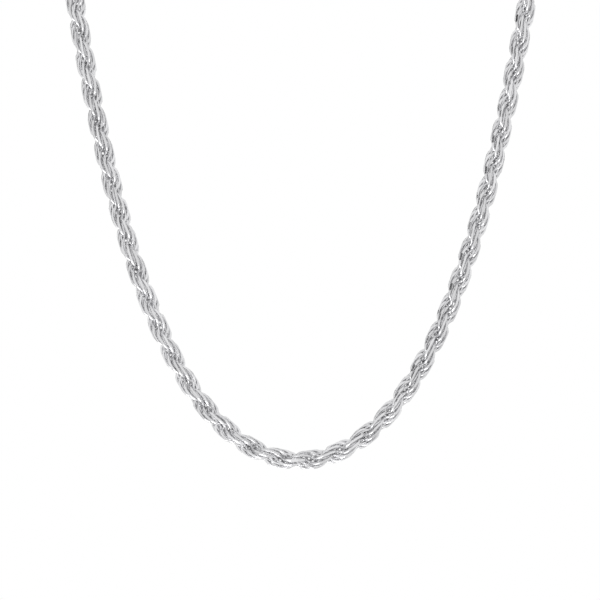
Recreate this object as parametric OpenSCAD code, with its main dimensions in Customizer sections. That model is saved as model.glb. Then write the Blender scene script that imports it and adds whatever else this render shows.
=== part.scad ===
// Rope chain necklace as it hangs from a neck: two halves that meet at the lowest point,
// and a barrel clasp at the nape.
// Millimetres. +Z up, the front towards -Y. The origin is the middle of the neck at shoulder height.

/* [Chain] */
// Length of the closed necklace, clasp included
necklace_l = 600; // [590:1:700]
// Widest measure over the two twisted strands
chain_w = 4.75; // [3:0.05:7]
// Width at the waists, where one strand crosses in front of the other
waist_w = 3.0; // [2:0.05:3.8]
// Length of one whole turn of the strands, which is two bulges
twist_l = 15.3; // [12:0.1:24]
// Where the waist nearest the lowest point lies, to the right of it
waist_at = -1.1; // [-4:0.1:4]

/* [Hanging front] */
// Radius of the curve at the lowest point
bottom_r = 22.7; // [15:0.1:40]
// Length of chain from the lowest point to where it starts over the shoulder
hang_l = 137; // [110:1:150]

/* [Round the neck] */
// Radius of the bend over each shoulder
shoulder_r = 45; // [30:1:50]
// How steeply the loop rises from the shoulders to the nape, in degrees
back_rise = 20; // [5:1:30]

/* [Clasp] */
// Length of the clasp between the two chain ends
clasp_l = 14; // [10:0.5:20]
// Width of the barrel
barrel_w = 6.4; // [5.4:0.1:8]
// Width of the collar that each chain end is soldered to
collar_w = 5.6; // [5:0.1:7]
// Length of each collar
collar_l = 2.2; // [1.5:0.1:3]

/* [Fineness] */
// Cross-sections of the chain in one turn of the strands
sections_per_twist = 12; // [8:1:14]
// Points round one strand's share of a cross-section
strand_points = 6; // [4:2:8]

/* [Hidden] */
silver = [0.80, 0.80, 0.81];
barrel_silver = [0.74, 0.74, 0.76];
$fn = 48;

// The strands are two rods side by side, and each rod's middle lies off_r from the chain's own middle.
rod_r = waist_w / 2;
off_r = (chain_w - waist_w) / 2;

// The hanging front is a catenary: its slope at a length s from the lowest point is s / bottom_r.
function slope(s) = atan(s / bottom_r);
function hang_x(s) = bottom_r * ln(s / bottom_r + sqrt(1 + pow(s / bottom_r, 2)));
function hang_z(s) = sqrt(s * s + bottom_r * bottom_r) - bottom_r;

// Turning a vector about a unit axis.
function turned(v, axis, angle) =
    v * cos(angle) + cross(axis, v) * sin(angle) + axis * (axis * v) * (1 - cos(angle));
function unit(v) = v / norm(v);

// Over the shoulder the chain turns from its last slope to the direction that runs back and up.
up_dir = [cos(slope(hang_l)), 0, sin(slope(hang_l))];
back_dir = [0, cos(back_rise), sin(back_rise)];
bend_angle = acos(up_dir * back_dir);
bend_axis = unit(cross(up_dir, back_dir));
bend_l = shoulder_r * bend_angle * PI / 180;
bend_side = cross(bend_axis, up_dir);
bend_span = shoulder_r * (sin(bend_angle) * up_dir + (1 - cos(bend_angle)) * bend_side);

// Behind the neck each half is a quarter circle that ends at the clasp.
nape_r = hang_x(hang_l) + bend_span[0] - clasp_l / 2;
nape_l = nape_r * PI / 2;
nape_axis = cross(back_dir, [-1, 0, 0]);

// A straight run along the side of the neck takes up the rest of the length.
half_l = (necklace_l - clasp_l) / 2;
side_l = half_l - hang_l - bend_l - nape_l;
side_start = [nape_r + clasp_l / 2, 0, 0] - side_l * back_dir;
front_y = side_start[1] - bend_span[1];
lowest_z = side_start[2] - bend_span[2] - hang_z(hang_l);

// The four stretches of the right half end at these lengths from the lowest point.
bend_end = hang_l + bend_l;
side_end = bend_end + side_l;

// Place and frame on the right half: [point, along, across, towards the front], all turning with the path.
function frame_hang(s) =
    let (a = slope(s))
    let (place = [hang_x(s), front_y, lowest_z + hang_z(s)])
    [place, [cos(a), 0, sin(a)], [-sin(a), 0, cos(a)], [0, -1, 0]];
function frame_turn(f, axis, angle) = [for (i = [1:3]) turned(f[i], axis, angle)];
function frame_bend(s) =
    let (f = frame_hang(hang_l), a = (s - hang_l) / shoulder_r * 180 / PI)
    let (step = shoulder_r * (sin(a) * up_dir + (1 - cos(a)) * bend_side))
    concat([f[0] + step], frame_turn(f, bend_axis, a));
function frame_side(s) =
    let (f = frame_bend(bend_end))
    [f[0] + (s - bend_end) * back_dir, f[1], f[2], f[3]];
function frame_nape(s) =
    let (f = frame_side(side_end), a = (s - side_end) / nape_r * 180 / PI)
    let (step = nape_r * (sin(a) * back_dir + (1 - cos(a)) * [-1, 0, 0]))
    concat([f[0] + step], frame_turn(f, nape_axis, a));
function frame_right(s) =
    s <= hang_l ? frame_hang(s)
    : s <= bend_end ? frame_bend(s)
    : s <= side_end ? frame_side(s)
    : frame_nape(s);

// The left half is the mirror image of the right one, walked the other way.
function mirrored(v) = [-v[0], v[1], v[2]];
function frame_at(s) =
    s >= 0 ? frame_right(s)
    : let (f = frame_right(-s)) [mirrored(f[0]), -mirrored(f[1]), mirrored(f[2]), mirrored(f[3])];

// One cross-section is the outline of both rods, measured from the chain's middle in a direction a.
function rod_reach(a) = off_r * cos(a) + sqrt(rod_r * rod_r - pow(off_r * sin(a), 2));
section = [for (lobe = [0, 1], i = [0:strand_points - 1])
    let (a = i * 180 / strand_points - 90, r = rod_reach(a), b = a + lobe * 180)
    [r * cos(b), r * sin(b)]];

// The strands twist left-handed, and at a waist one rod lies straight in front of the other.
function twist_at(s) = 90 - (s - waist_at) / twist_l * 360;
function ring_at(s) =
    let (f = frame_at(s), w = twist_at(s), c = cos(w), d = sin(w))
    [for (p = section) f[0] + (p[0] * c - p[1] * d) * f[2] + (p[0] * d + p[1] * c) * f[3]];

// The barrel fills the length between the collars.
barrel_l = clasp_l - 2 * collar_l;
barrel_round = 1.2;

// A closed solid through the cross-sections from s0 to s1.
module twisted(s0, s1) {
    n = len(section);
    m = ceil(abs(s1 - s0) / twist_l * sections_per_twist);
    points = [for (i = [0:m]) each ring_at(s0 + (s1 - s0) * i / m)];
    sides = [for (i = [0:m - 1], j = [0:n - 1])
        let (a = i * n + j, b = i * n + (j + 1) % n)
        each [[a, b + n, b], [a, a + n, b + n]]];
    first = [for (j = [0:n - 1]) j];
    last = [for (j = [n - 1:-1:0]) m * n + j];
    polyhedron(points, concat(sides, [first, last]), convexity = 10);
}

module chain_left() {
    color(silver) twisted(-half_l, 0);
}

module chain_right() {
    color(silver) twisted(0, half_l);
}

// The clasp lies along X at the nape: a barrel with rounded shoulders between two collars.
module clasp() {
    nape = frame_right(half_l)[0];
    shoulder = barrel_round / 2;
    color(barrel_silver)
        translate([0, nape[1], nape[2]])
            rotate([0, 90, 0])
                union() {
                    cylinder(h = clasp_l, d = collar_w, center = true);
                    cylinder(h = barrel_l - barrel_round, d = barrel_w, center = true);
                    for (side = [-1, 1])
                        translate([0, 0, side * (barrel_l / 2 - shoulder)])
                            rotate_extrude()
                                translate([barrel_w / 2 - shoulder, 0])
                                    circle(shoulder);
                    cylinder(h = barrel_l, d = barrel_w - barrel_round, center = true);
                }
}

chain_left();
chain_right();
clasp();
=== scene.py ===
# %% [markdown]
# # A silver rope chain, hanging as it does on a neck
# A rope chain is made of hundreds of small wire rings. Each ring is threaded through the ones before it and turned a
# little further, so that the rings lie in two strands which wind round each other. This lesson builds those rings
# with numpy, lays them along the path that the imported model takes, and finishes them as polished silver. All measures
# are in metres.

import math

import bpy
import numpy as np
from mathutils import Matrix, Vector


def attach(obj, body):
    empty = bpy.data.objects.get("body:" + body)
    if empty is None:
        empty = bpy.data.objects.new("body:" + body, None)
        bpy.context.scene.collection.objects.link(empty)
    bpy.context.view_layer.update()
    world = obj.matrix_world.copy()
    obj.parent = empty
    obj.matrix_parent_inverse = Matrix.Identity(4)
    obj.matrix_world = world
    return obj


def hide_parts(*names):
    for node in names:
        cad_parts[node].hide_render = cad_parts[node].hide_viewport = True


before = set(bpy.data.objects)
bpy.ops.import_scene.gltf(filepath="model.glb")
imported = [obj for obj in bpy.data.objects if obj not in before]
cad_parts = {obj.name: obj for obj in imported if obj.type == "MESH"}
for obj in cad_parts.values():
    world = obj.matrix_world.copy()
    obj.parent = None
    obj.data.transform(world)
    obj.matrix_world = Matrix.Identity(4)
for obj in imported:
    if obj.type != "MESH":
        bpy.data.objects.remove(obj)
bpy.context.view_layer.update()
print("packed nodes:", sorted(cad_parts))

# %% [markdown]
# ## The path of the chain
# The seen front is a catenary, the curve that a chain takes under its own weight. At each shoulder it turns back over
# a smooth bend, then runs straight along the neck, and a quarter circle takes each half round the nape to the clasp.
# The path could be drawn as a Bezier curve, but the same few lengths and radii as in the solid model give exactly its
# place, and a frame of three directions turns along with it without any twist of its own.

# %% Lengths and radii of the path, in metres
NECKLACE_L = 0.600
CLASP_L = 0.014
BOTTOM_R = 0.0227
HANG_L = 0.137
SHOULDER_R = 0.045
BACK_RISE = math.radians(20)
HALF_L = (NECKLACE_L - CLASP_L) / 2


def unit(v):
    """Each vector of an array divided by its own length."""
    return v / np.linalg.norm(v, axis=-1, keepdims=True)


def turned(v, axis, angle):
    """Vector v turned about a unit axis by an angle a: v cos a + (axis x v) sin a + axis (axis . v) (1 - cos a)."""
    c, s = np.cos(angle)[..., None], np.sin(angle)[..., None]
    return v * c + np.cross(axis, v) * s + axis * (axis @ v) * (1 - c)


def hang_x(s):
    """How far the catenary has gone sideways at length s: r asinh(s / r)."""
    return BOTTOM_R * np.arcsinh(s / BOTTOM_R)


def hang_z(s):
    """How far the catenary has risen at length s: sqrt(s^2 + r^2) - r."""
    return np.sqrt(s * s + BOTTOM_R**2) - BOTTOM_R


slope_end = math.atan(HANG_L / BOTTOM_R)
up_dir = np.array([math.cos(slope_end), 0, math.sin(slope_end)])
back_dir = np.array([0, math.cos(BACK_RISE), math.sin(BACK_RISE)])
bend_angle = math.acos(up_dir @ back_dir)
bend_axis = unit(np.cross(up_dir, back_dir))
bend_side = np.cross(bend_axis, up_dir)
bend_l = SHOULDER_R * bend_angle
bend_span = SHOULDER_R * (math.sin(bend_angle) * up_dir + (1 - math.cos(bend_angle)) * bend_side)
nape_r = hang_x(HANG_L) + bend_span[0] - CLASP_L / 2
nape_axis = np.cross(back_dir, [-1, 0, 0])
bend_end = HANG_L + bend_l
side_end = HALF_L - nape_r * math.pi / 2
side_start = np.array([nape_r + CLASP_L / 2, 0, 0]) - (side_end - bend_end) * back_dir
front_y = side_start[1] - bend_span[1]
lowest_z = side_start[2] - bend_span[2] - hang_z(HANG_L)
print("lowest point of the path, y and z in mm:", round(front_y * 1000, 2), round(lowest_z * 1000, 2))


# %% [markdown]
# ## A frame at every length
# Four stretches follow each other, and each one starts with the directions that the last one ended with. The left
# half is the mirror image of the right one, walked the other way, which keeps the strands winding the same way round.

# %% Place and directions at length s
def path_frames(s):
    """For lengths s from the lowest point, right positive: place, along, across and front, each as one array.
    Hanging: the catenary, with the slope s / r. Bend: p + R (sin a up + (1 - cos a) side). Side: p + l back.
    Nape: p + R (sin a back + (1 - cos a) inwards). The left half mirrors x and reverses the direction along.
    Past its end the path runs straight on: p + l along."""
    a = np.abs(s)
    h = np.minimum(a, HANG_L)
    slope = np.arctan(h / BOTTOM_R)
    zero, one = np.zeros_like(h), np.ones_like(h)
    place = np.stack([hang_x(h), front_y * one, lowest_z + hang_z(h)], -1)
    along = np.stack([np.cos(slope), zero, np.sin(slope)], -1)
    across = np.stack([-np.sin(slope), zero, np.cos(slope)], -1)
    front = np.stack([zero, -one, zero], -1)
    last = [up_dir, np.array([-up_dir[2], 0, up_dir[0]]), np.array([0.0, -1.0, 0.0])]

    b = np.clip(a - HANG_L, 0, bend_l) / SHOULDER_R
    place = place + SHOULDER_R * (np.sin(b)[..., None] * up_dir + (1 - np.cos(b))[..., None] * bend_side)
    place = place + np.clip(a - bend_end, 0, side_end - bend_end)[..., None] * back_dir
    bent = [turned(v, bend_axis, b) for v in last]
    last = [turned(v, bend_axis, np.array(bend_angle)) for v in last]

    c = np.clip(a - side_end, 0, HALF_L - side_end) / nape_r
    inwards = np.array([-1.0, 0, 0])
    place = place + nape_r * (np.sin(c)[..., None] * back_dir + (1 - np.cos(c))[..., None] * inwards)
    round_nape = [turned(v, nape_axis, c) for v in last]

    hangs, bends = (a <= HANG_L)[..., None], (a <= side_end)[..., None]
    along, across, front = [np.where(hangs, v, np.where(bends, w, u))
                            for v, w, u in zip((along, across, front), bent, round_nape)]
    place = place + np.maximum(a - HALF_L, 0)[..., None] * along
    mirror = np.where((s < 0)[..., None], np.array([-1.0, 1, 1]), 1.0)
    back = np.where(s < 0, -1.0, 1.0)[..., None]
    return place * mirror, along * mirror * back, across * mirror, front * mirror


ends = path_frames(np.array([-HALF_L, 0.0, HALF_L]))[0]
print("left end, lowest point and right end, mm:", np.round(ends * 1000, 2).tolist())

# %% [markdown]
# ## One ring
# A ring is wire bent to a closed loop. In this chain the loops show as long ovals that stand almost upright along it.
# A ring's middle lies beside the chain's own middle, so one long side runs through the core and the other bulges out.
# The surface is a function of two angles: u goes round the ring and v goes round the wire. There are more steps of u
# on the outer side, which shows, than in the core, which doesn't.

# %% Measures of a ring
# The width over the flats, and over the rings before they are cut
CHAIN_W = 0.00475
UNCUT_W = 0.0054
# Half a turn of the strands, which is one bulge, the rings in it, and where the waist nearest the lowest point lies
HALF_TURN_L = 0.00765
RINGS_IN_HALF_TURN = 10.48
WAIST_AT = -0.0011
# The middle's distance from the chain's middle in ring radii, the slant against the cross-section, length over width
RING_OFFSET = 0.20
RING_TILT = math.radians(-86)
RING_STRETCH = 1.5
# The wire's thickness in ring radii, the steps round the ring and the wire, and how they crowd on the outer side
WIRE_TO_RING = 0.39
RING_STEPS, WIRE_STEPS = 14, 6
CROWDING = 0.35
ring_r = UNCUT_W / (2 * (1 + RING_OFFSET) + WIRE_TO_RING)
wire_r = WIRE_TO_RING * ring_r / 2
ring_gap = HALF_TURN_L / RINGS_IN_HALF_TURN
print(f"ring radius {ring_r * 1000:.2f} mm, wire {wire_r * 2000:.2f} mm, a ring every {ring_gap * 1000:.3f} mm")


def ring_surface():
    """Points and outward directions of one ring on a (u, v) grid, in the chain's straight measure: x outwards through
    the ring's middle, z along the chain. With the ring's own directions side, rise and normal and the stretch k, the
    wire's middle line is middle + R (cos u side + k sin u rise). The direction across the wire is w = (k cos u side +
    sin u rise) / its length. Point = middle line + r (cos v w + sin v normal)."""
    side = np.array([1.0, 0, 0])
    rise = np.array([0, math.cos(RING_TILT), math.sin(RING_TILT)])
    normal = np.array([0, -math.sin(RING_TILT), math.cos(RING_TILT)])
    u = np.linspace(0, 2 * np.pi, RING_STEPS, endpoint=False)
    u = u - CROWDING * np.sin(u)
    v = np.linspace(0, 2 * np.pi, WIRE_STEPS, endpoint=False)
    u, v = [angle[..., None] for angle in np.meshgrid(u, v, indexing="ij")]
    middle_line = np.cos(u) * side + RING_STRETCH * np.sin(u) * rise
    out = np.cos(v) * unit(RING_STRETCH * np.cos(u) * side + np.sin(u) * rise) + np.sin(v) * normal
    return ring_r * (middle_line + RING_OFFSET * side) + wire_r * out, out


ring_points, ring_out = ring_surface()
print("one ring:", ring_points.shape[0] * ring_points.shape[1], "faces")

# %% [markdown]
# ## Rings in their strands
# Ring k lies k steps further along and is turned by a little less than half a turn, so that odd and even rings make
# the two strands, and the shortfall adds up to the slow left-handed twist. Real rings are a little loose, so each one
# gets its own small turn, slant and slide. These are the same in each run, because the random numbers of a half start
# from the number of its first ring.

# %% Rings on a straight chain
LOOSE_TURN = math.radians(3.0)
LOOSE_TILT = math.radians(2.5)
LOOSE_SLIDE = 0.00005
LOOSE_LIMIT = 2  # in standard deviations
print("each ring is turned against the last one by", round(180 - 180 / RINGS_IN_HALF_TURN, 1), "degrees")


def strand_angle(s):
    """The angle of the strand at length s: a left-handed turn of 180 degrees in each half turn's length."""
    return np.pi / 2 - (s - WAIST_AT) / HALF_TURN_L * np.pi


def turned_in_plane(a, b, angle):
    """A pair of measures turned by an angle: (a cos - b sin, a sin + b cos)."""
    return a * np.cos(angle) - b * np.sin(angle), a * np.sin(angle) + b * np.cos(angle)


def rings_in_strands(k):
    """Points and outward directions of the rings with the numbers k, each as x, y and z. A ring is tilted about its
    own spoke, turned about z by the strand's angle, plus half a turn for odd rings, and slid along z by k gaps."""
    loose = np.random.default_rng(abs(k[0])).normal(size=(3, len(k), 1, 1)).clip(-LOOSE_LIMIT, LOOSE_LIMIT)
    middle_s = (k + 0.5)[:, None, None] * ring_gap
    angle = strand_angle(middle_s) + (k % 2)[:, None, None] * np.pi + LOOSE_TURN * loose[0]
    tilt = LOOSE_TILT * loose[1]

    def placed(part):
        """Vectors of the one ring, tilted about its own spoke and then turned into its strand."""
        y, z = turned_in_plane(part[None, ..., 1], part[None, ..., 2], tilt)
        x, y = turned_in_plane(np.broadcast_to(part[None, ..., 0], y.shape), y, angle)
        return x, y, z

    x, y, z = placed(ring_points)
    return (x, y, z + middle_s + LOOSE_SLIDE * loose[2]), placed(ring_out)


# %% [markdown]
# ## The diamond cut
# After the rings are joined, a turning cutter shaves flat bands along the chain, and each flat then flashes as one
# small mirror. The cut could be a boolean with a prism, but that is slow and unsure on hundreds of rings that cross
# each other. Here every point that lies outside an eight-sided prism is moved straight in to its face.

# %% Eight flats
FLATS = 8
print("eight flats, each up to", round(CHAIN_W * math.tan(math.pi / FLATS) * 1000, 2), "mm wide")


def diamond_cut(x, y):
    """Points held inside the prism: radius = min(radius, apothem / cos(angle from the middle of the nearest flat)).
    Returns x, y, the angle at which the nearest flat faces, and whether the point was cut."""
    sector = 2 * np.pi / FLATS
    around, radius = np.arctan2(y, x), np.hypot(x, y)
    flat = np.round(around / sector) * sector
    limit = CHAIN_W / 2 / np.cos(around - flat)
    is_cut = radius > limit
    shrink = np.where(is_cut, limit / radius, 1.0)
    return x * shrink, y * shrink, flat, is_cut


# %% [markdown]
# ## Laid along the path
# A point that lies x and y beside the middle of the straight chain, at height z, comes to lie as far beside the path
# at length z. Each half stops where its last ring disappears in the clasp's collar, as a soldered end ring does. No
# two rings take the polish quite alike, so each one also gets a tone between 0 and 1 from its own number.

# %% Bending and tones
# The last ring's middle lies this many ring radii before the clasp, so its far end is hidden in the collar
LAST_RING_ROOM = 0.6
# Two factors that turn a ring's number into a tone between 0 and 1 with no visible order
TONE_FACTORS = (12.9898, 43758.5453)
last_ring = int((HALF_L - LAST_RING_ROOM * ring_r) / ring_gap - 0.5)
print("rings in each half:", last_ring + 1)


def half_chain(k):
    """The rings with the numbers k, cut and bent: place(z) + x across + y front. Returns for each point its place,
    its outward direction, the direction of the nearest flat, whether it was cut, and its ring's tone, which is the
    fraction of sin(a k) b."""
    (x, y, z), (out_x, out_y, out_z) = rings_in_strands(k)
    x, y, flat, is_cut = diamond_cut(x, y)
    place, along, across, front = path_frames(z)
    points = place + x[..., None] * across + y[..., None] * front
    outwards = out_x[..., None] * across + out_y[..., None] * front + out_z[..., None] * along
    flat_out = np.cos(flat)[..., None] * across + np.sin(flat)[..., None] * front
    tone = np.sin(k * TONE_FACTORS[0]) * TONE_FACTORS[1] % 1
    return points, outwards, flat_out, is_cut, np.broadcast_to(tone[:, None, None], x.shape)


# %% [markdown]
# ## From points to a mesh
# The points of all rings go into one mesh as whole arrays. Two masks go with it, which the material reads by their
# names: where the cutter went, and the tone of each ring.

# %% Faces, meshes and masks
def ring_faces(rings):
    """Corner numbers of all faces: the cell (i, j) of a ring's grid joins (i, j), (i+1, j), (i+1, j+1), (i, j+1)."""
    i, j = np.meshgrid(np.arange(RING_STEPS), np.arange(WIRE_STEPS), indexing="ij")
    i2, j2 = (i + 1) % RING_STEPS, (j + 1) % WIRE_STEPS
    cell = np.stack([i * WIRE_STEPS + j, i2 * WIRE_STEPS + j, i2 * WIRE_STEPS + j2, i * WIRE_STEPS + j2], -1)
    return (cell.reshape(1, -1, 4) + (np.arange(rings) * RING_STEPS * WIRE_STEPS)[:, None, None]).reshape(-1, 4)


def mesh_object(name, points, faces):
    """A smooth mesh of four-cornered faces, filled as whole arrays, on an object at the origin."""
    mesh = bpy.data.meshes.new(name)
    mesh.vertices.add(len(points))
    mesh.vertices.foreach_set("co", points.astype(np.float32).ravel())
    mesh.loops.add(faces.size)
    mesh.loops.foreach_set("vertex_index", faces.astype(np.int32).ravel())
    mesh.polygons.add(len(faces))
    mesh.polygons.foreach_set("loop_start", np.arange(len(faces), dtype=np.int32) * faces.shape[1])
    mesh.update(calc_edges=True)
    mesh.polygons.foreach_set("use_smooth", np.ones(len(faces), bool))
    mesh.validate()
    obj = bpy.data.objects.new(name, mesh)
    bpy.context.scene.collection.objects.link(obj)
    return obj


def add_mask(obj, name, values, domain="POINT"):
    """A number at each point or each face corner, which a material reads by its name."""
    obj.data.attributes.new(name, "FLOAT", domain).data.foreach_set("value", values.astype(np.float32).ravel())


print("faces of one ring:", len(ring_faces(1)))

# %% [markdown]
# ## The two halves
# Each half is one mesh that takes the place of one plain solid. A polished round wire has no edges, so each corner is
# shaded along the wire's own outward direction, and a face that the cutter made is shaded along its flat instead. The
# border between the two is the sharp line that makes a diamond-cut chain sparkle. Rings 0, 1, 2 and so on run to the
# right of the lowest point and rings -1, -2, -3 to the left, so the strands run on from one half to the other without
# a break.

# %% Both halves of the chain
def chain_piece(name, first, last):
    """One half of the chain as a single mesh. A face whose four corners were cut is shaded along its flat's own
    direction, and every other corner along the round wire's."""
    points, outwards, flat_out, is_cut, tone = half_chain(np.arange(first, last + 1))
    faces = ring_faces(last - first + 1)
    obj = mesh_object(name, points.reshape(-1, 3), faces)
    cut = is_cut.ravel()[faces].all(1)
    normals = np.where(cut[:, None, None], flat_out.reshape(-1, 3)[faces], outwards.reshape(-1, 3)[faces])
    obj.data.normals_split_custom_set(unit(normals).reshape(-1, 3).tolist())
    add_mask(obj, "tone", tone)
    add_mask(obj, "cut", np.repeat(cut, 4).astype(float), "CORNER")
    print(f"{name}: {last - first + 1} rings, {2 * len(faces)} triangles, cut faces {cut.mean():.0%}")
    return obj


chain_left = chain_piece("rope_chain_left", -last_ring - 1, -1)
chain_right = chain_piece("rope_chain_right", 0, last_ring)
for piece, node in ((chain_left, "chain_left"), (chain_right, "chain_right")):
    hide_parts(node)
    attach(piece, "root")

# %% [markdown]
# ## Shared effects
# Two effects belong to every polished metal here: fine scratches, and painted shade, a darker colour painted into
# the gaps where shade falls. Each is a node group with its own inputs, so each material gives it other values. A few
# short helpers first make the nodes readable as formulas.

# %% Node helpers
def node(tree, kind, **settings):
    """A new node with some of its settings given."""
    made = tree.nodes.new(kind)
    for key, value in settings.items():
        setattr(made, key, value)
    return made


def maths(tree, operation, a, b=None, c=None):
    """A Math node, whose inputs are numbers or sockets. MULTIPLY_ADD gives a b + c."""
    made = node(tree, "ShaderNodeMath", operation=operation)
    for socket, value in zip(made.inputs, (a, b, c)):
        if isinstance(value, (int, float)):
            socket.default_value = value
        elif value is not None:
            tree.links.new(value, socket)
    return made.outputs[0]


def ranged(tree, value, low, high):
    """A Map Range node that rises from 0 at low to 1 at high, with t t (3 - 2 t) so that both ends are smooth."""
    made = node(tree, "ShaderNodeMapRange", interpolation_type="SMOOTHSTEP")
    tree.links.new(value, made.inputs["Value"])
    made.inputs["From Min"].default_value = low
    made.inputs["From Max"].default_value = high
    return made.outputs["Result"]


def new_group(name, inputs, outputs):
    """An empty shader node group with named inputs, each with its first value, and named outputs."""
    tree = bpy.data.node_groups.new(name, "ShaderNodeTree")
    for label, kind, first in inputs:
        socket = tree.interface.new_socket(label, in_out="INPUT", socket_type=kind)
        if first is not None:
            socket.default_value = first
    for label, kind in outputs:
        tree.interface.new_socket(label, in_out="OUTPUT", socket_type=kind)
    return tree, node(tree, "NodeGroupInput"), node(tree, "NodeGroupOutput")


print("helpers:", ", ".join(helper.__name__ for helper in (node, maths, ranged, new_group)))


# %% [markdown]
# ## Fine scratches
# Wear and the polishing cloth leave hairlines in a few main directions. Noise that is stretched to long thin threads
# and cut off near its peaks gives them, once for each direction, and the strongest of the three counts.

# %% Fine scratches
# Three layers of scratches: how far each is turned, in radians, and how many times longer than wide its scratches are
SCRATCH_LAYERS = ((0.35, 14.0), (1.25, 20.0), (2.4, 9.0))
TURN_SHARES = (1.0, 1.7, 0.6)
SCRATCH_DETAIL = 1.5
SCRATCH_FROM, SCRATCH_FULL = 0.62, 0.72
scratches, given, result = new_group(
    "fine_scratches",
    [("Vector", "NodeSocketVector", None), ("Scale", "NodeSocketFloat", 4000.0), ("Amount", "NodeSocketFloat", 0.5)],
    [("Height", "NodeSocketFloat"), ("Mask", "NodeSocketFloat")],
)
layers = []
for turn, stretch in SCRATCH_LAYERS:
    lie = node(scratches, "ShaderNodeMapping")
    lie.inputs["Rotation"].default_value = [turn * share for share in TURN_SHARES]
    lie.inputs["Scale"].default_value = (1.0, 1.0, 1.0 / stretch)
    noise = node(scratches, "ShaderNodeTexNoise")
    noise.inputs["Detail"].default_value = SCRATCH_DETAIL
    scratches.links.new(given.outputs["Vector"], lie.inputs["Vector"])
    scratches.links.new(lie.outputs["Vector"], noise.inputs["Vector"])
    scratches.links.new(given.outputs["Scale"], noise.inputs["Scale"])
    layers.append(ranged(scratches, noise.outputs["Fac"], SCRATCH_FROM, SCRATCH_FULL))
lines = maths(scratches, "MAXIMUM", maths(scratches, "MAXIMUM", layers[0], layers[1]), layers[2])
lines = maths(scratches, "MULTIPLY", lines, given.outputs["Amount"])
scratches.links.new(lines, result.inputs["Mask"])
scratches.links.new(maths(scratches, "SUBTRACT", 1.0, lines), result.inputs["Height"])
print("group fine_scratches:", len(scratches.nodes), "nodes")

# %% [markdown]
# ## Painted shade in the gaps
# The colour is darkened as painted shade where a point is closed in, in the narrow gaps between the wires. The mask
# is how closed in a point is, made uneven by clouds of noise, so that the edge of the painted shade isn't a clean line.

# %% Painted shade in the recesses
# Clouds that make the painted shade uneven, and where the painted shade starts and where it is full
CLOUD_SCALE, CLOUD_DETAIL, CLOUD_SHARE = 420.0, 4.0, 0.5
PAINTED_SHADE_FROM, PAINTED_SHADE_FULL = 0.25, 0.85
painted_gap_shade, given, result = new_group(
    "painted_gap_shade_in_recesses",
    [("Vector", "NodeSocketVector", None), ("Recess", "NodeSocketFloat", 0.0), ("Amount", "NodeSocketFloat", 0.5)],
    [("Mask", "NodeSocketFloat")],
)
clouds = node(painted_gap_shade, "ShaderNodeTexNoise")
clouds.inputs["Scale"].default_value = CLOUD_SCALE
clouds.inputs["Detail"].default_value = CLOUD_DETAIL
painted_gap_shade.links.new(given.outputs["Vector"], clouds.inputs["Vector"])
unevenness = maths(painted_gap_shade, "MULTIPLY_ADD", clouds.outputs["Fac"], CLOUD_SHARE, -CLOUD_SHARE / 2)
uneven = maths(painted_gap_shade, "ADD", given.outputs["Recess"], unevenness)
# The painted shade: the closed-in mask, ranged between its start and full, times the amount
painted_shade = maths(painted_gap_shade, "MULTIPLY", ranged(painted_gap_shade, uneven, PAINTED_SHADE_FROM, PAINTED_SHADE_FULL), given.outputs["Amount"])
painted_gap_shade.links.new(painted_shade, result.inputs["Mask"])
print("group painted_gap_shade_in_recesses:", len(painted_gap_shade.nodes), "nodes")

# %% [markdown]
# ## Polished silver
# The silver itself is a bright, almost neutral mirror. The flats that the cutter left are a little smoother than the
# round wire beside them, each ring was polished a little differently, and fine scratches cross the whole surface. The
# Ambient Occlusion node finds the gaps between the wires, where a dark colour is painted in as shade. The clasp was
# turned on a lathe, which left fine lines round it, and it is less glossy than the chain.

# %% What changes the silver from place to place
# How much darker the darkest ring is than the brightest
TONE_RANGE = 0.18
# The clasp's lines: their distance, how much they shade the metal, and their height against the scratches' depth
TURNED_LINE_GAP = 0.00032
TURNED_LINE_SHADE = 0.12
TURNED_LINE_HEIGHT = 0.35
# What each effect adds to the roughness where it is full
PAINTED_SHADE_ROUGH, SCRATCH_ROUGH, CUT_ROUGH, TONE_ROUGH = 0.25, 0.15, -0.06, 0.05
GAP_SAMPLES = 4


def effect(tree, group, where, **numbers):
    """A shared effect placed in a material, with numbers for some of its inputs."""
    made = node(tree, "ShaderNodeGroup", node_tree=group)
    for label, number in numbers.items():
        made.inputs[label].default_value = number
    tree.links.new(where, made.inputs["Vector"])
    return made


def closed_in(tree, reach):
    """How closed in a point is: 1 - the open share of the directions above it, within the reach."""
    made = node(tree, "ShaderNodeAmbientOcclusion", samples=GAP_SAMPLES, only_local=True)
    made.inputs["Distance"].default_value = reach
    return maths(tree, "SUBTRACT", 1.0, made.outputs["AO"])


def ring_looks(tree, roughness):
    """On the rings: roughness + cut x its change + tone x its change, and brightness 1 - range + range x tone."""
    cut = node(tree, "ShaderNodeAttribute", attribute_name="cut").outputs["Fac"]
    tone = node(tree, "ShaderNodeAttribute", attribute_name="tone").outputs["Fac"]
    roughness = maths(tree, "MULTIPLY_ADD", cut, CUT_ROUGH, roughness)
    roughness = maths(tree, "MULTIPLY_ADD", tone, TONE_ROUGH, roughness)
    return roughness, maths(tree, "MULTIPLY_ADD", tone, TONE_RANGE, 1.0 - TONE_RANGE)


def turned_looks(tree, where, height):
    """On the clasp: lines sin(2 pi x / gap) are added to the height, and brightness is 1 - shade + shade x lines."""
    place = node(tree, "ShaderNodeSeparateXYZ")
    tree.links.new(where, place.inputs[0])
    turned_lines = maths(tree, "SINE", maths(tree, "MULTIPLY", place.outputs["X"], 2 * math.pi / TURNED_LINE_GAP))
    height = maths(tree, "MULTIPLY_ADD", turned_lines, TURNED_LINE_HEIGHT, height)
    return height, maths(tree, "MULTIPLY_ADD", turned_lines, TURNED_LINE_SHADE, 1.0 - TURNED_LINE_SHADE)


print("clasp lines:", round(CLASP_L / TURNED_LINE_GAP), "along the clasp")


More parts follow.
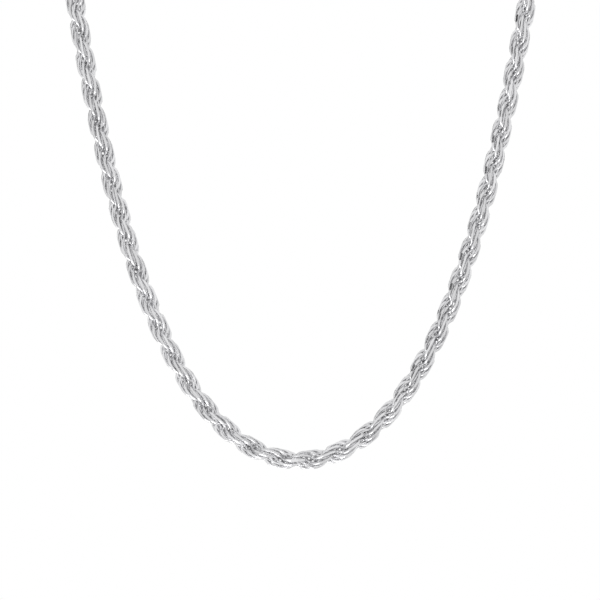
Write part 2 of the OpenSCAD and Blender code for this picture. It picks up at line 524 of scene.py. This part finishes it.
# %% [markdown]
# ## One recipe for both metals
# A metal's colour comes from its reflections, so the base colour is the tint of the mirror. The shade painted into the
# gaps darkens it and makes it rougher, the scratches make it rougher too, and a very shallow bump bends the reflections
# at each scratch.

# %% Polished metal
BUMP_STRENGTH, BUMP_DEPTH = 0.25, 0.00001
print(f"bump: strength {BUMP_STRENGTH}, up to {BUMP_DEPTH * 1e6:.0f} micrometres deep")


def grey(tree, value):
    """A colour with the same value on all three channels."""
    made = node(tree, "ShaderNodeCombineColor")
    for channel in ("Red", "Green", "Blue"):
        tree.links.new(value, made.inputs[channel])
    return made.outputs["Color"]


def metal(name, finish, is_rings):
    """Colour = mix(silver, shade colour, painted shade mask) x brightness, which paints shade into the gaps. Roughness
    = rough + painted shade mask x its change + scratches x their change, and on the rings also cut and tone. Normal =
    bump of 1 - scratches, and on the clasp also its lines."""
    mat = bpy.data.materials.new(name)
    mat.use_nodes = True
    tree = mat.node_tree
    shader = tree.nodes["Principled BSDF"]
    shader.inputs["Metallic"].default_value = 1.0
    where = node(tree, "ShaderNodeTexCoord").outputs["Object"]
    worn = effect(tree, scratches, where, Scale=finish["scratch_scale"], Amount=finish["scratch_amount"])
    shade_in_gaps = effect(tree, painted_gap_shade, where, Amount=finish["painted_shade_amount"])
    # The Ambient Occlusion mask says where shade is painted into the gaps
    tree.links.new(closed_in(tree, finish["gap_reach"]), shade_in_gaps.inputs["Recess"])

    roughness = maths(tree, "MULTIPLY_ADD", shade_in_gaps.outputs["Mask"], PAINTED_SHADE_ROUGH, finish["rough"])
    roughness = maths(tree, "MULTIPLY_ADD", worn.outputs["Mask"], SCRATCH_ROUGH, roughness)
    height = worn.outputs["Height"]
    if is_rings:
        roughness, brightness = ring_looks(tree, roughness)
    else:
        height, brightness = turned_looks(tree, where, height)
    tree.links.new(roughness, shader.inputs["Roughness"])

    # Painted shade: the silver is mixed towards a dark colour where the gaps are closed in
    colour = node(tree, "ShaderNodeMix", data_type="RGBA")
    colour.inputs["A"].default_value = (*finish["silver"], 1)
    colour.inputs["B"].default_value = (*finish["painted_shade"], 1)
    tree.links.new(shade_in_gaps.outputs["Mask"], colour.inputs["Factor"])
    toned = node(tree, "ShaderNodeMix", data_type="RGBA", blend_type="MULTIPLY")
    toned.inputs["Factor"].default_value = 1.0
    tree.links.new(colour.outputs["Result"], toned.inputs["A"])
    tree.links.new(grey(tree, brightness), toned.inputs["B"])
    tree.links.new(toned.outputs["Result"], shader.inputs["Base Color"])

    bump = node(tree, "ShaderNodeBump")
    bump.inputs["Strength"].default_value = BUMP_STRENGTH
    bump.inputs["Distance"].default_value = BUMP_DEPTH
    tree.links.new(height, bump.inputs["Height"])
    tree.links.new(bump.outputs["Normal"], shader.inputs["Normal"])
    print(f"material {name}: {len(tree.nodes)} nodes")
    return mat


# %% [markdown]
# ## The two finishes
# Both metals are the same silver alloy. On the chain, shade is painted into the colour only in the narrow gaps, with a
# reach of a quarter of a millimetre. The clasp is handled and opened, so it is greyer and rougher, and its painted
# shade reaches wider, into the joints where the collars meet the barrel.

# %% Chain and clasp
# Each finish: its silver, the colour and strength of the shade painted into its gaps and how far that reaches, its
# scratches and its roughness
CHAIN_FINISH = dict(
    silver=(0.95, 0.95, 0.963), painted_shade=(0.05, 0.05, 0.053), painted_shade_amount=0.55, gap_reach=0.00024,
    scratch_scale=5000.0, scratch_amount=0.6, rough=0.20,
)
CLASP_FINISH = dict(
    silver=(0.70, 0.70, 0.71), painted_shade=(0.14, 0.14, 0.145), painted_shade_amount=0.9, gap_reach=0.0008,
    scratch_scale=2500.0, scratch_amount=0.5, rough=0.24,
)
chain_metal = metal("chain_polished_silver", CHAIN_FINISH, True)
clasp_metal = metal("clasp_silver", CLASP_FINISH, False)
for piece in (chain_left, chain_right):
    piece.data.materials.append(chain_metal)
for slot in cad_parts["clasp"].material_slots:
    slot.material = clasp_metal

# %% [markdown]
# ## Camera
# The photograph looks straight at the hanging front. A long lens from over a metre away shows the object's own plane
# at four pixels to the millimetre, and leaves the stretch over the shoulders above the picture's edge.

# %% Camera at the photograph's view
SEEN_W = 0.150
CAMERA_FAR = 1.2
SENSOR_MM = 36.0
SEES_FROM, SEES_TO = 0.05, 20.0
LOWEST_LEFT_OF_MIDDLE = 0.00021
LOWEST_UNDER_MIDDLE = 0.04009
ROLL = math.radians(-0.227)

scene = bpy.context.scene
camera = bpy.data.objects.new("camera", bpy.data.cameras.new("camera"))
scene.collection.objects.link(camera)
camera.data.sensor_width = SENSOR_MM
camera.data.lens = SENSOR_MM * CAMERA_FAR / SEEN_W
camera.data.clip_start, camera.data.clip_end = SEES_FROM, SEES_TO
picture_right = Vector((math.cos(ROLL), 0, -math.sin(ROLL)))
picture_up = Vector((math.sin(ROLL), 0, math.cos(ROLL)))
lowest = Vector((0, front_y, lowest_z))
picture_middle = lowest + LOWEST_LEFT_OF_MIDDLE * picture_right + LOWEST_UNDER_MIDDLE * picture_up
camera.location = picture_middle - Vector((0, CAMERA_FAR, 0))
camera.rotation_euler = (math.pi / 2, ROLL, 0)
scene.camera = camera
print("lens, mm:", round(camera.data.lens), "for a picture", round(SEEN_W * 1000), "mm wide")

# %% [markdown]
# ## Studio
# Polished metal shows its surroundings. In an evenly bright room the cut flats turn into calm grey bands, and only
# the gaps between the wires are dark. The camera sees the room as white. One soft lamp low in front lights the
# undersides of the wires, where each ring dives into the core, and gives the small bright ends that run down the
# middle of the chain.

# %% Room and lamp
ROOM_SHADE = 0.835
LOW_LAMP_AT = (-0.2, -0.3, -0.9)
LOW_LAMP_AIM = (0, front_y, -0.10)
LOW_LAMP_SIZE = 0.5
LOW_LAMP_W = 2.8

world = bpy.data.worlds.new("room")
scene.world = world
world.use_nodes = True
room = world.node_tree
seen = node(room, "ShaderNodeLightPath").outputs["Is Camera Ray"]
shade = maths(room, "MAXIMUM", seen, ROOM_SHADE)
room.links.new(grey(room, shade), room.nodes["Background"].inputs["Color"])

lamp = bpy.data.objects.new("low_lamp", bpy.data.lights.new("low_lamp", "AREA"))
scene.collection.objects.link(lamp)
lamp.data.size, lamp.data.energy = LOW_LAMP_SIZE, LOW_LAMP_W
lamp.location = LOW_LAMP_AT
lamp.rotation_euler = (Vector(LOW_LAMP_AIM) - lamp.location).to_track_quat("-Z", "Y").to_euler()
lamp.visible_camera = False
print(f"room {ROOM_SHADE}, lamp {LOW_LAMP_W} W")


# %% [markdown]
# ## Card and floor
# Against a white background the edges of polished metal would fade away, so a studio puts a black card beside it, out
# of the picture, for the edges to mirror. Here it hangs to the left and a little above the chain, and it gives the
# nearly black strokes along the left edge of the right-hand run. The camera doesn't see the card itself. A plain pale
# floor lies far below the picture and only sends some light back up.

# %% Two flat squares
CARD_TOWARDS = (-0.9, 0.0, 0.3)
CARD_FAR = 0.5
CARD_W = 0.30
CARD_FACES = (0, front_y, -0.08)
CARD_BLACK, CARD_ROUGH = 0.02, 0.5
FLOOR_Z = -1.3
FLOOR_W = 2.8
FLOOR_PALE, FLOOR_ROUGH = 0.86, 0.7


def flat_square(name, look, middle, side, up, width, shade, rough):
    """A square of the studio, middle + a side + b up with a and b at plus or minus half the width, in one grey."""
    corners = np.array([[-1, -1], [1, -1], [1, 1], [-1, 1]]) @ np.stack([side, up]) * width / 2
    square = mesh_object(name, corners + middle, np.array([[0, 1, 2, 3]]))
    mat = bpy.data.materials.new(look)
    mat.use_nodes = True
    shader = mat.node_tree.nodes["Principled BSDF"]
    shader.inputs["Base Color"].default_value = (shade, shade, shade, 1)
    shader.inputs["Roughness"].default_value = rough
    square.data.materials.append(mat)
    return square


card_out = unit(np.array(CARD_TOWARDS))
card_side = unit(np.cross(card_out, [0, 0, 1]))
card_up = np.cross(card_side, card_out)
card_middle = CARD_FAR * card_out + CARD_FACES
card = flat_square("dark_card", "dark_card", card_middle, card_side, card_up, CARD_W, CARD_BLACK, CARD_ROUGH)
card.visible_camera = False
floor_middle = [0, 0, FLOOR_Z]
floor = flat_square("floor", "pale_floor", floor_middle, [1, 0, 0], [0, 1, 0], FLOOR_W, FLOOR_PALE, FLOOR_ROUGH)
print("card middle, mm:", np.round(card_middle * 1000).tolist())

# %% [markdown]
# The colours are shown as they are, without a Filmic tone curve.

scene.view_settings.view_transform = "Standard"
